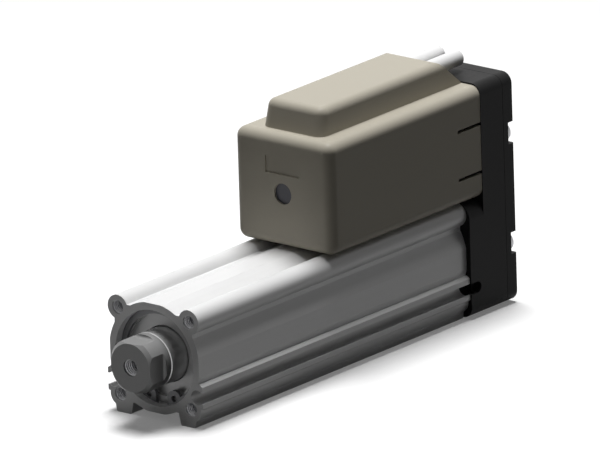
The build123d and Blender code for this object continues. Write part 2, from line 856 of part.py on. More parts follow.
# Return plate, notched at its sides round the screw heads
with BuildPart() as return_plate:
    with BuildSketch(across(plate_back)):
        plate_outline()
    extrude(amount=plate_thickness)
    chamfer(return_plate.faces().sort_by(Axis.Y)[-1].edges(), plate_edge)
    chamfer(return_plate.faces().sort_by(Axis.Y)[0].edges(), plate_seam)
    with BuildSketch(across(plate_back, shaft_spacing / 2)):
        with GridLocations(2 * box_half_width, shaft_spacing, 2, 2):
            SlotCenterToCenter(2 * (box_half_width - plate_screw_x), 2 * plate_notch_half)
    extrude(amount=plate_notch_depth, mode=Mode.SUBTRACT)
    with BuildSketch(across(plate_back, shaft_spacing / 2)):
        with GridLocations(2 * plate_screw_x, shaft_spacing, 2, 2):
            Circle(plate_screw_radius + bolt_hole_clearance)
    extrude(amount=plate_thickness, mode=Mode.SUBTRACT)
save(return_plate, "return_plate")


def facing_back(station, height=0):
    """Sketch plane square to the rod axis that faces backward."""
    return Plane(origin=(0, station, height), x_dir=(1, 0, 0), z_dir=(0, 1, 0))


def four_screws(seat, pitch_x, pitch_z, head_radius, head_height, crown, shank_radius, shank_length):
    """Four screws on a rectangle: heads stand behind the seat plane and shanks run along its normal."""
    with BuildSketch(Plane.XZ) as half:
        with BuildLine():
            Line((0, shank_length), (0, -head_height))
            TangentArc((0, -head_height), (head_radius, crown - head_height), tangent=(1, 0))
            Polyline(
                (head_radius, crown - head_height),
                (head_radius, 0),
                (shank_radius, 0),
                (shank_radius, shank_length),
                (0, shank_length),
            )
        make_face()
    blank = revolve(half.sketch, axis=Axis.Z, mode=Mode.PRIVATE)
    with Locations(seat):
        with GridLocations(pitch_x, pitch_z, 2, 2):
            add(blank)


def cross_recess():
    """Cross-shaped driver recess."""
    Rectangle(cross_span, cross_width)
    Rectangle(cross_width, cross_span)


def hex_recess(across_flats):
    """Hexagonal driver recess."""
    RegularPolygon(across_flats / 2, 6, major_radius=False)


# Bolts that hold the return box to the tube
with BuildPart() as box_bolts:
    four_screws(
        across(bolt_seat_station), hole_pitch, hole_pitch, bolt_head_radius, bolt_head_height, bolt_crown,
        bolt_thread / 2 - seat_clearance, bolt_length,
    )
    with BuildSketch(across(bolt_seat_station + bolt_head_height)):
        with GridLocations(hole_pitch, hole_pitch, 2, 2):
            hex_recess(bolt_hex)
    extrude(amount=hex_depth, mode=Mode.SUBTRACT)
save(box_bolts, "box_bolts")

# Screws that hold the return plate
plate_screw_seat = plate_back - plate_notch_depth
with BuildPart() as plate_screws:
    four_screws(
        across(plate_screw_seat, shaft_spacing / 2), 2 * plate_screw_x, shaft_spacing,
        plate_screw_head_radius, plate_screw_head_height, plate_screw_crown,
        plate_screw_radius - seat_clearance, plate_screw_length,
    )
    with BuildSketch(across(plate_screw_seat + plate_screw_head_height, shaft_spacing / 2)):
        with GridLocations(2 * plate_screw_x, shaft_spacing, 2, 2):
            cross_recess()
    extrude(amount=cross_depth, mode=Mode.SUBTRACT)
save(plate_screws, "plate_screws")

# Screws that hold the motor to the return box
with BuildPart() as motor_screws:
    four_screws(
        across(motor_screw_station, shaft_spacing), motor_screw_pitch, motor_screw_pitch,
        motor_screw_head_radius, motor_screw_head_height, bolt_crown, motor_screw_radius - seat_clearance,
        motor_screw_seat + motor_screw_depth,
    )
    with BuildSketch(across(motor_screw_station + motor_screw_head_height, shaft_spacing)):
        with GridLocations(motor_screw_pitch, motor_screw_pitch, 2, 2):
            hex_recess(motor_screw_hex)
    extrude(amount=motor_screw_head_height / 2, mode=Mode.SUBTRACT)
save(motor_screws, "motor_screws")

# Motor front bell, with the pilot that centres it in the return box
with BuildPart() as motor_front_bell:
    with BuildSketch(across(motor_face)):
        motor_outline()
    extrude(amount=front_bell_length)
    with BuildSketch(across(motor_face + motor_pilot_height, shaft_spacing)):
        Circle(motor_pilot_radius)
    extrude(amount=motor_pilot_height)
    with BuildSketch(Plane.YZ):
        cavity_back = stator_back + bell_cavity_depth
        ring_profile(stator_back, cavity_back, 0, stator_cavity_radius, height=shaft_spacing)
        ring_profile(stator_back, front_seat_back, 0, motor_bearing_outer_radius, height=shaft_spacing)
        shaft_pass = motor_shaft_radius + shaft_pass_clearance
        ring_profile(stator_back, motor_face + motor_pilot_height, 0, shaft_pass, height=shaft_spacing)
    revolve(axis=motor_axis, mode=Mode.SUBTRACT)
    with BuildSketch(across(motor_face, shaft_spacing)):
        with GridLocations(motor_screw_pitch, motor_screw_pitch, 2, 2):
            Circle(motor_screw_radius)
    extrude(amount=front_bell_length, mode=Mode.SUBTRACT)
save(motor_front_bell, "motor_front_bell")

# Motor rear bell
with BuildPart() as motor_rear_bell:
    with BuildSketch(across(stator_front)):
        motor_outline()
    extrude(amount=rear_bell_length)
    with BuildSketch(Plane.YZ):
        cavity_front = stator_front - bell_cavity_depth
        ring_profile(cavity_front, stator_front, 0, stator_cavity_radius, height=shaft_spacing)
        ring_profile(rear_seat_front, stator_front, 0, motor_bearing_outer_radius, height=shaft_spacing)
        ring_profile(encoder_back, stator_front, 0, shaft_pass, height=shaft_spacing)
    revolve(axis=motor_axis, mode=Mode.SUBTRACT)
    with BuildSketch(across(stator_front, shaft_spacing)):
        with GridLocations(motor_screw_pitch, motor_screw_pitch, 2, 2):
            Circle(motor_screw_radius)
    extrude(amount=rear_bell_length, mode=Mode.SUBTRACT)
    with BuildSketch(across(tie_screw_seat, shaft_spacing)):
        with GridLocations(motor_screw_pitch, motor_screw_pitch, 2, 2):
            Circle(tie_screw_head_radius + bolt_head_clearance)
    extrude(amount=tie_screw_seat - encoder_back, mode=Mode.SUBTRACT)
save(motor_rear_bell, "motor_rear_bell")

# Tie screws through the motor's corners
with BuildPart() as tie_screws:
    four_screws(
        facing_back(tie_screw_seat, shaft_spacing), motor_screw_pitch, motor_screw_pitch,
        tie_screw_head_radius, tie_screw_head_height, bolt_crown, tie_screw_radius,
        stator_back + tie_screw_engagement - tie_screw_seat,
    )
save(tie_screws, "tie_screws")

# Stator core with eight poles
with BuildPart() as stator_core:
    with BuildSketch(across(stator_back)):
        motor_outline()
        with Locations((0, shaft_spacing)):
            Circle(stator_cavity_radius, mode=Mode.SUBTRACT)
            with GridLocations(motor_screw_pitch, motor_screw_pitch, 2, 2):
                Circle(motor_screw_radius, mode=Mode.SUBTRACT)
    with BuildSketch(across(stator_back, shaft_spacing)):
        Circle(stator_bore_radius + pole_shoe_depth)
        with PolarLocations(stator_bore_radius, pole_count, start_angle=180 / pole_count):
            Rectangle(2 * pole_shoe_depth + 2, shoe_gap, mode=Mode.SUBTRACT)
        with PolarLocations((stator_bore_radius + motor_square / 2) / 2, pole_count):
            Rectangle(motor_square / 2 - stator_bore_radius - pole_shoe_depth / 2, pole_width)
        Circle(stator_bore_radius, mode=Mode.SUBTRACT)
    extrude(amount=stator_length)
save(stator_core, "stator_core")

# Coils wound round the poles
with BuildPart() as stator_coils:
    coil_middle = (coil_inner_radius + coil_outer_radius) / 2
    coil_hole = pole_width + 2 * coil_clearance
    with BuildSketch(across(stator_back + coil_overhang, shaft_spacing)):
        with PolarLocations(coil_middle, pole_count):
            Rectangle(coil_depth, coil_hole + 2 * coil_thickness)
    extrude(amount=stator_length + 2 * coil_overhang)
    with BuildSketch(across(stator_back + coil_clearance, shaft_spacing)):
        with PolarLocations(coil_middle, pole_count):
            Rectangle(coil_depth + coil_thickness, coil_hole)
    extrude(amount=stator_length + 2 * coil_clearance, mode=Mode.SUBTRACT)
save(stator_coils, "stator_coils")

# Motor shaft, slotted at its free end for turning by hand
with BuildPart() as motor_shaft:
    with BuildSketch(across(pulley_back, shaft_spacing)):
        Circle(motor_shaft_radius)
    extrude(amount=pulley_back - shaft_front)
    with BuildSketch(across(shaft_front, shaft_spacing)):
        Rectangle(2 * motor_shaft_radius, override_slot)
    extrude(amount=-override_slot_depth, mode=Mode.SUBTRACT)
save(motor_shaft, "motor_shaft")

# Rotor: two laminated stacks with a magnet between them
rotor_front = stator_front + rotor_inset
rotor_back = stator_back - rotor_inset
with BuildPart() as rotor_stacks:
    with BuildSketch(Plane.YZ):
        for front in (rotor_front, rotor_back - rotor_stack):
            ring_profile(front, front + rotor_stack, motor_shaft_radius, rotor_radius, height=shaft_spacing)
    revolve(axis=motor_axis)
save(rotor_stacks, "rotor_stacks")

with BuildPart() as rotor_magnet:
    with BuildSketch(Plane.YZ):
        ring_profile(
            rotor_front + rotor_stack, rotor_back - rotor_stack,
            motor_shaft_radius, rotor_radius - pole_shoe_depth, height=shaft_spacing,
        )
    revolve(axis=motor_axis)
save(rotor_magnet, "rotor_magnet")

# Motor bearings
motor_bearings = [rear_seat_front, front_seat_front]
motor_track = (motor_shaft_radius + motor_bearing_outer_radius) / 2
with BuildPart() as motor_bearing_outer_rings:
    bearing_ring(
        motor_bearings, motor_bearing_width, motor_bearing_outer_radius - motor_bearing_wall,
        motor_bearing_outer_radius, motor_track, motor_bearing_ball_radius, shaft_spacing, motor_axis,
    )
save(motor_bearing_outer_rings, "motor_bearing_outer_rings")

with BuildPart() as motor_bearing_inner_rings:
    bearing_ring(
        motor_bearings, motor_bearing_width, motor_shaft_radius, motor_shaft_radius + motor_bearing_wall,
        motor_track, motor_bearing_ball_radius, shaft_spacing, motor_axis,
    )
save(motor_bearing_inner_rings, "motor_bearing_inner_rings")

with BuildPart() as motor_bearing_balls:
    bearing_ball_set(
        motor_bearings, motor_bearing_width, motor_track, motor_bearing_ball_radius, motor_bearing_ball_count,
        shaft_spacing,
    )
save(motor_bearing_balls, "motor_bearing_balls")

# Encoder housing behind the motor, with a ledge for the board
encoder_inner = motor_square - 2 * encoder_wall
with BuildPart() as encoder_housing:
    with BuildSketch(across(encoder_back)):
        motor_outline()
    extrude(amount=encoder_length)
    with BuildSketch(across(encoder_back, shaft_spacing)):
        Rectangle(encoder_inner, encoder_inner)
    extrude(amount=encoder_back - board_front, mode=Mode.SUBTRACT)
    with BuildSketch(across(encoder_back, shaft_spacing)):
        Rectangle(encoder_inner - 2 * encoder_ledge, encoder_inner - 2 * encoder_ledge)
    extrude(amount=encoder_length - encoder_wall, mode=Mode.SUBTRACT)
    with BuildSketch(across(encoder_back, shaft_spacing)):
        Circle(shaft_pass)
    extrude(amount=encoder_length, mode=Mode.SUBTRACT)
save(encoder_housing, "encoder_housing")

# Encoder board and its sensor
with BuildPart() as encoder_board:
    board_size = encoder_inner - 2 * board_clearance
    with BuildSketch(across(board_front + board_thickness, shaft_spacing)):
        Rectangle(board_size, board_size)
        Circle(board_hole_radius, mode=Mode.SUBTRACT)
    extrude(amount=board_thickness)
    with BuildSketch(across(board_front, shaft_spacing)):
        with Locations((0, sensor_rise)):
            Rectangle(sensor_width, sensor_height)
    extrude(amount=board_front - disc_front - encoder_disc_thickness - sensor_gap)
save(encoder_board, "encoder_board")

# Encoder disc on its hub
with BuildPart() as encoder_disc:
    with BuildSketch(Plane.YZ):
        disc_back = disc_front + encoder_disc_thickness
        ring_profile(disc_front, disc_back, motor_shaft_radius, encoder_disc_radius, height=shaft_spacing)
        ring_profile(
            disc_front - encoder_hub_length, disc_front, motor_shaft_radius, encoder_hub_radius,
            height=shaft_spacing,
        )
    revolve(axis=motor_axis)
save(encoder_disc, "encoder_disc")


def hump_section(level, inset):
    """Section of the hump at a level, set in from its walls."""
    rise = level - cover_top
    half = hump_half_width - inset / cos(hump_side_draft) - rise * tan(hump_side_draft)
    front = cover_front + hump_setback + inset / cos(hump_front_draft) + rise * tan(hump_front_draft)
    back = motor_face - inset / cos(hump_rear_draft) - rise * tan(hump_rear_draft)
    with Locations((0, (front + back) / 2)):
        Rectangle(2 * half, back - front)


def cover_form(inset):
    """Rounded box of the motor cover with its drafted hump, or its hollow when set in."""
    with BuildSketch(across(motor_face, cover_middle)) as section:
        Rectangle(2 * (cover_half_width - inset), cover_height - 2 * inset)
    box = extrude(section.sketch, amount=cover_length - inset, mode=Mode.PRIVATE)
    box = box.fillet(cover_round - inset, box.edges() - box.faces().sort_by(Axis.Y)[-1].edges())
    with BuildSketch(Plane.XY.offset(cover_top - inset)) as hump_foot:
        hump_section(cover_top - inset, inset)
    with BuildSketch(Plane.XY.offset(hump_top - inset)) as hump_head:
        hump_section(hump_top - inset, inset)
    hump = loft([hump_foot.sketch, hump_head.sketch], mode=Mode.PRIVATE)
    levels = hump.faces().sort_by(Axis.Z)
    uprights = hump.edges() - levels[0].edges() - levels[-1].edges()
    hump = hump.fillet(hump_corner - inset, uprights.sort_by(Axis.Y)[:2])
    hump = hump.fillet(hump_round - inset, hump.faces().sort_by(Axis.Z)[-1].edges())
    return box + hump


# Motor cover
with BuildPart() as motor_cover:
    add(cover_form(0))
    add(cover_form(cover_wall), mode=Mode.SUBTRACT)
    with BuildSketch(across(cover_front, shaft_spacing)):
        Circle(access_radius)
    extrude(amount=-cover_wall, mode=Mode.SUBTRACT)
    with BuildSketch(across(cover_front, shaft_spacing + panel_rise)):
        Rectangle(panel_width, panel_height)
    extrude(amount=-panel_depth, mode=Mode.SUBTRACT)
    with BuildSketch(across(motor_face, slit_height)):
        with GridLocations(2 * cover_half_width, slit_spacing, 2, 2):
            Rectangle(2 * cover_wall, slit_width)
    extrude(amount=slit_length, mode=Mode.SUBTRACT)
    with BuildSketch(across(cable_end, cable_height)):
        with GridLocations(cable_spacing, 0, 2, 1):
            Circle(cable_radius + seat_clearance)
    extrude(amount=cable_length, mode=Mode.SUBTRACT)
save(motor_cover, "motor_cover")

# Cap in the cover's access hole, with a flange behind the wall
with BuildPart() as access_cap:
    with BuildSketch(Plane.YZ):
        cap_front = cover_front + cap_setback
        flange_front = cover_front + cover_wall
        ring_profile(cap_front, flange_front, 0, access_radius, height=shaft_spacing)
        flange_back = flange_front + cap_flange
        ring_profile(flange_front, flange_back, 0, access_radius + cap_flange, height=shaft_spacing)
    revolve(axis=motor_axis)
save(access_cap, "access_cap")

# Grommet under the hump's roof, clamped round both cables
with BuildPart() as cable_grommet:
    grommet_bottom = cable_height - cable_radius - grommet_margin
    with BuildSketch(across(motor_face - grommet_setback)):
        with Locations((0, (roof + grommet_bottom) / 2)):
            Rectangle(cable_spacing + 2 * (cable_radius + grommet_margin), roof - grommet_bottom)
        with Locations((cable_spacing / 2, cable_height), (-cable_spacing / 2, cable_height)):
            Circle(cable_radius, mode=Mode.SUBTRACT)
    extrude(amount=grommet_length)
save(cable_grommet, "cable_grommet")

# Cables, cut short behind the hump
for name, side in (("motor_cable", 1), ("encoder_cable", -1)):
    with BuildPart() as cable:
        with BuildSketch(across(cable_end, cable_height)):
            with Locations((side * cable_spacing / 2, 0)):
                Circle(cable_radius)
        extrude(amount=cable_length)
    save(cable, name)
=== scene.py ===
"""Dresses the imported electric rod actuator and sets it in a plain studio.

Lengths in the sizes of the pieces are in millimetres and become metres where a mesh is made.
"""

import json
import logging
import math
from dataclasses import dataclass
from enum import Enum
from typing import Any

import bmesh
import bpy
from mathutils import Matrix, Vector


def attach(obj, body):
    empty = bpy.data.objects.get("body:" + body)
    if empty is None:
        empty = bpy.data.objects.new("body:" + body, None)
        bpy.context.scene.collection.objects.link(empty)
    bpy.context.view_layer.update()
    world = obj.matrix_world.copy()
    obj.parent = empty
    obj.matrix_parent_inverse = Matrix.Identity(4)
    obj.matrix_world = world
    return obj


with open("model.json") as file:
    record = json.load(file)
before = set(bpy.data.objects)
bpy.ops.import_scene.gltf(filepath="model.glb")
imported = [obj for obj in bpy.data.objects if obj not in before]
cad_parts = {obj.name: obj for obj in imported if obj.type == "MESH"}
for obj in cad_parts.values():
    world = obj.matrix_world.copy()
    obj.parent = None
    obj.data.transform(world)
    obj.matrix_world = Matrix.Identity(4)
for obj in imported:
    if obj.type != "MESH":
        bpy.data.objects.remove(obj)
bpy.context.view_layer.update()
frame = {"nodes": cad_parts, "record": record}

MM = 0.001
log = logging.getLogger("actuator")
Colour = tuple[float, float, float]
Point = tuple[float, float, float]

# Looks; a pair says where a ramp starts and ends, and ROUGHNESS_SPREAD adds to a finish's own
FINE_SHARE = 0.4
MARK_STRENGTH = 0.6
MOTTLE_SPREAD = (0.3, 0.7)
ROUGHNESS_SPREAD = (-0.05, 0.07)
EDGE_AGREEMENT = (0.995, 0.8)
RUBBED_PATCHES = (0.4, 0.62)
FACING_UP = (0.2, 1.0)
DUST_COLOUR = (0.55, 0.53, 0.5, 1)
WHITE = (1, 1, 1, 1)
DIM_PAPER = (0.05, 0.05, 0.05, 1)
AMBIENT_LEVEL = 0.02
FLOOR_GLOW = (0.15, 1.0)

# Studio; the floor's lengths and the camera's range are in metres, the sensor in millimetres
FLOOR_REACH = 6.0
FLOOR_FADE = (0.16, 0.42)
CAMERA_RANGE = (0.5, 20.0)
SENSOR_WIDTH = 36.0

# Shapes; a thread's height and margin are shares of its pitch, its inset a share of its height
UPRIGHT_TO_BACKWARD = (-math.pi / 2, 0.0, 0.0)
THREAD_HEIGHT = 0.54
THREAD_INSET = 0.3
THREAD_MARGIN = 0.6


class Grain(Enum):
    """How a surface was made, as the scale of its marks across X, Y and Z."""

    DRAWN = (900.0, 6.0, 900.0)
    TURNED = (3.0, 2600.0, 3.0)
    GROUND = (12.0, 9000.0, 12.0)
    MOULDED = (1500.0, 1500.0, 1500.0)
    CAST = (700.0, 700.0, 700.0)


@dataclass(frozen=True)
class Finish:
    """One surface finish: its colours, its gloss and the marks left on it.

    Attributes:
        colour: base colour, linear red, green and blue.
        roughness: roughness of the clean surface.
        metallic: share of the reflection that is metal's.
        grain: the kind of marks.
        depth: depth of the marks in millimetres.
        mottle: how far the colour varies from place to place.
        worn: colour that shows where edges are rubbed.
        wear: how much the edges are rubbed.
        dust: how much dust lies on what faces up.
        gloss: specular level of what isn't metal.
    """

    colour: Colour
    roughness: float
    metallic: float = 0.0
    grain: Grain = Grain.MOULDED
    depth: float = 0.01
    mottle: float = 0.05
    worn: Colour = (0.7, 0.7, 0.7)
    wear: float = 0.15
    dust: float = 0.03
    gloss: float = 0.3


FINISHES: dict[str, Finish] = {
    "anodised": Finish(
        colour=(0.7, 0.7, 0.7), roughness=0.36, metallic=0.06, grain=Grain.DRAWN, depth=0.006,
        mottle=0.05, worn=(0.85, 0.85, 0.86), wear=0.3, gloss=0.2,
    ),
    "cast_black": Finish(
        colour=(0.013, 0.013, 0.0135), roughness=0.42, metallic=0.0, grain=Grain.CAST,
        depth=0.012, mottle=0.2, worn=(0.07, 0.07, 0.07), wear=0.2, gloss=0.05,
    ),
    "steel_plated": Finish(
        colour=(0.26, 0.26, 0.26), roughness=0.3, metallic=0.12, grain=Grain.TURNED,
        depth=0.002, mottle=0.04, worn=(0.55, 0.55, 0.55), wear=0.2, gloss=0.2,
    ),
    "steel_rod": Finish(
        colour=(0.66, 0.66, 0.66), roughness=0.24, metallic=0.5, grain=Grain.GROUND,
        depth=0.0004, mottle=0.015, worn=(0.75, 0.75, 0.75), wear=0.1,
    ),
    "steel_spring": Finish(
        colour=(0.14, 0.14, 0.145), roughness=0.42, metallic=0.3, grain=Grain.CAST,
        depth=0.008, mottle=0.15, worn=(0.4, 0.4, 0.4), wear=0.3,
    ),
    "steel_bearing": Finish(
        colour=(0.5, 0.5, 0.52), roughness=0.22, metallic=0.9, grain=Grain.TURNED, depth=0.003,
        mottle=0.05,
    ),
    "steel_black": Finish(
        colour=(0.03, 0.03, 0.032), roughness=0.4, metallic=0.6, grain=Grain.TURNED,
        depth=0.006, mottle=0.1, worn=(0.3, 0.3, 0.3), wear=0.3,
    ),
    "steel_zinc": Finish(
        colour=(0.7, 0.7, 0.72), roughness=0.32, metallic=0.4, grain=Grain.TURNED, depth=0.006,
        mottle=0.06, worn=(0.85, 0.85, 0.85), wear=0.2,
    ),
    "aluminium_inner": Finish(
        colour=(0.36, 0.36, 0.36), roughness=0.34, metallic=0.25, grain=Grain.TURNED,
        depth=0.006, mottle=0.05, worn=(0.7, 0.7, 0.7), wear=0.2,
    ),
    "cover_plastic": Finish(
        colour=(0.39, 0.363, 0.302), roughness=0.44, metallic=0.0, grain=Grain.MOULDED,
        depth=0.008, mottle=0.04, worn=(0.58, 0.55, 0.47), wear=0.2, gloss=0.12,
    ),
    "cap_plastic": Finish(
        colour=(0.06, 0.06, 0.072), roughness=0.4, metallic=0.0, grain=Grain.MOULDED,
        depth=0.008, mottle=0.08, worn=(0.2, 0.2, 0.22), wear=0.15,
    ),
    "bronze": Finish(
        colour=(0.5, 0.3, 0.14), roughness=0.34, metallic=0.9, grain=Grain.TURNED, depth=0.006,
        mottle=0.1,
    ),
    "urethane": Finish(
        colour=(0.6, 0.42, 0.14), roughness=0.36, metallic=0.0, grain=Grain.MOULDED,
        depth=0.006, mottle=0.08,
    ),
    "nitrile": Finish(
        colour=(0.015, 0.015, 0.015), roughness=0.5, metallic=0.0, grain=Grain.CAST,
        depth=0.008, mottle=0.2, worn=(0.05, 0.05, 0.05), wear=0.1,
    ),
    "acetal": Finish(
        colour=(0.75, 0.75, 0.71), roughness=0.35, metallic=0.0, grain=Grain.TURNED,
        depth=0.004, mottle=0.03,
    ),
    "magnet": Finish(
        colour=(0.06, 0.06, 0.065), roughness=0.6, metallic=0.2, grain=Grain.CAST, depth=0.02,
        mottle=0.3,
    ),
    "laminate": Finish(
        colour=(0.18, 0.18, 0.2), roughness=0.45, metallic=0.7, grain=Grain.TURNED, depth=0.02,
        mottle=0.25,
    ),
    "winding": Finish(
        colour=(0.42, 0.12, 0.03), roughness=0.3, metallic=0.4, grain=Grain.CAST, depth=0.02,
        mottle=0.2,
    ),
    "board": Finish(
        colour=(0.02, 0.16, 0.06), roughness=0.35, metallic=0.0, grain=Grain.CAST, depth=0.006,
        mottle=0.15,
    ),
    "belt_rubber": Finish(
        colour=(0.02, 0.02, 0.02), roughness=0.6, metallic=0.0, grain=Grain.CAST, depth=0.02,
        mottle=0.3,
    ),
    "cable_white": Finish(
        colour=(0.72, 0.72, 0.72), roughness=0.38, metallic=0.0, grain=Grain.MOULDED,
        depth=0.006, mottle=0.03, worn=(0.8, 0.8, 0.8), wear=0.05,
    ),
}


class Graph:
    """One shader or geometry node tree, with a short way to add and join its nodes."""

    def __init__(self, tree: bpy.types.NodeTree) -> None:
        """Takes the tree to add to."""
        self.tree = tree

    def add(
        self, kind: str, inputs: dict[str | int, Any] | None = None, **settings: Any
    ) -> bpy.types.Node:
        """Adds a node.

        Args:
            kind: the node's type name.
            inputs: a value or an output socket for each input, by name or place.
            settings: the node's own settings.

        Returns:
            The new node.
        """
        node = self.tree.nodes.new(kind)
        for name, value in settings.items():
            setattr(node, name, value)
        for key, value in (inputs or {}).items():
            if isinstance(value, bpy.types.NodeSocket):
                self.tree.links.new(value, node.inputs[key])
            else:
                node.inputs[key].default_value = value
        return node

    def math(self, operation: str, *values: Any) -> bpy.types.NodeSocket:
        """Adds a Math node of either kind of tree and returns its output."""
        node = self.add("ShaderNodeMath", dict(enumerate(values)), operation=operation)
        return node.outputs[0]

    def ramp(
        self, value: Any, old: tuple[float, float], new: tuple[float, float] = (0.0, 1.0)
    ) -> bpy.types.NodeSocket:
        """Maps a value straight from one range to another and holds it at the ends.

        Args:
            value: the socket to map.
            old: its low and high ends.
            new: what they become.

        Returns:
            The mapped value's socket.
        """
        inputs = {"Value": value, 1: old[0], 2: old[1], 3: new[0], 4: new[1]}
        return self.add("ShaderNodeMapRange", inputs).outputs[0]

    def blend(self, share: Any, first: Any, second: Any) -> bpy.types.NodeSocket:
        """Mixes two colours.

        Args:
            share: how much of the second colour, a number or a socket.
            first: the colour at 0.
            second: the colour at 1.

        Returns:
            The mixed colour's socket.
        """
        node = self.add("ShaderNodeMix", {0: share, 6: first, 7: second}, data_type="RGBA")
        return node.outputs[2]


def socket_kind(value: Any) -> str:
    """Names the socket type that suits a default value."""
    if isinstance(value, int):
        return "NodeSocketInt"
    if isinstance(value, float):
        return "NodeSocketFloat"
    return "NodeSocketVector"


def new_group(
    name: str, kind: str, inputs: dict[str, Any], outputs: dict[str, str]
) -> tuple[Graph, bpy.types.Node, bpy.types.Node]:
    """Starts a node group.

    Args:
        name: the group's name.
        kind: "ShaderNodeTree" or "GeometryNodeTree".
        inputs: the default of each input, by name.
        outputs: the socket type of each output, by name.

    Returns:
        The group's graph, its input node and its output node.
    """
    tree = bpy.data.node_groups.new(name, kind)
    for label, default in inputs.items():
        socket = tree.interface.new_socket(label, in_out="INPUT", socket_type=socket_kind(default))
        socket.default_value = default
    for label, socket_type in outputs.items():
        tree.interface.new_socket(label, in_out="OUTPUT", socket_type=socket_type)
    graph = Graph(tree)
    return graph, graph.add("NodeGroupInput"), graph.add("NodeGroupOutput")


class SharedEffects:
    """The effects that every finish uses, each built once as a shader node group."""

    def __init__(self) -> None:
        """Builds the groups."""
        self.marks = self.tool_marks()
        self.wear = self.edge_wear()
        self.dust = self.settled_dust()

    @staticmethod
    def tool_marks() -> bpy.types.NodeTree:
        """Builds the marks of drawing, turning, grinding or moulding.

        Returns:
            A group that puts out the marks' height and a slow mottle.
        """
        graph, given, out = new_group(
            "tool_marks",
            "ShaderNodeTree",
            {"Marks": (1.0, 1.0, 1.0), "Patches": 40.0},
            {"Height": "NodeSocketFloat", "Mottle": "NodeSocketFloat"},
        )
        place = graph.add("ShaderNodeTexCoord").outputs["Object"]
        scaled = graph.add(
            "ShaderNodeVectorMath", {0: place, 1: given.outputs["Marks"]}, operation="MULTIPLY"
        )
        fine = graph.add(
            "ShaderNodeTexNoise", {"Vector": scaled.outputs[0], "Scale": 1.0, "Detail": 3.0}
        )
        slow = graph.add(
            "ShaderNodeTexNoise",
            {"Vector": place, "Scale": given.outputs["Patches"], "Detail": 4.0, "Roughness": 0.6},
        )
        quick = graph.math("MULTIPLY", fine.outputs[0], FINE_SHARE)
        patches = graph.math("MULTIPLY", slow.outputs[0], 1 - FINE_SHARE)
        mottle = graph.math("ADD", quick, patches)
        graph.tree.links.new(fine.outputs[0], out.inputs["Height"])
        graph.tree.links.new(mottle, out.inputs["Mottle"])
        return graph.tree

    @staticmethod
    def edge_wear() -> bpy.types.NodeTree:
        """Builds the rub along edges.

        Returns:
            A group that puts out how far each place is rubbed, from 0 to 1.
        """
        graph, given, out = new_group(
            "edge_wear",
            "ShaderNodeTree",
            {"Width": 0.0004, "Amount": 0.2},
            {"Wear": "NodeSocketFloat"},
        )
        rounded = graph.add("ShaderNodeBevel", {"Radius": given.outputs["Width"]}, samples=4)
        flat = graph.add("ShaderNodeNewGeometry").outputs["Normal"]
        agree = graph.add(
            "ShaderNodeVectorMath", {0: rounded.outputs[0], 1: flat}, operation="DOT_PRODUCT"
        )
        place = graph.add("ShaderNodeTexCoord").outputs["Object"]
        broken = graph.add("ShaderNodeTexNoise", {"Vector": place, "Scale": 320.0, "Detail": 5.0})
        edge = graph.ramp(agree.outputs["Value"], EDGE_AGREEMENT)
        patchy = graph.ramp(broken.outputs[0], RUBBED_PATCHES)
        worn = graph.math("MULTIPLY", graph.math("MULTIPLY", edge, patchy), given.outputs["Amount"])
        graph.tree.links.new(worn, out.inputs["Wear"])
        return graph.tree

    @staticmethod
    def settled_dust() -> bpy.types.NodeTree:
        """Builds the thin dust on what faces up.

        Returns:
            A group that puts out how dusty each place is, from 0 to 1.
        """
        graph, given, out = new_group(
            "settled_dust", "ShaderNodeTree", {"Amount": 0.05}, {"Dust": "NodeSocketFloat"}
        )
        flat = graph.add("ShaderNodeNewGeometry").outputs["Normal"]
        height = graph.add("ShaderNodeSeparateXYZ", {0: flat}).outputs["Z"]
        facing = graph.ramp(height, FACING_UP)
        place = graph.add("ShaderNodeTexCoord").outputs["Object"]
        specks = graph.add(
            "ShaderNodeTexNoise", {"Vector": place, "Scale": 180.0, "Detail": 8.0, "Roughness": 0.7}
        )
        patch = graph.math("MULTIPLY", facing, specks.outputs[0])
        settled = graph.math("MULTIPLY", patch, given.outputs["Amount"])
        graph.tree.links.new(settled, out.inputs["Dust"])
        return graph.tree


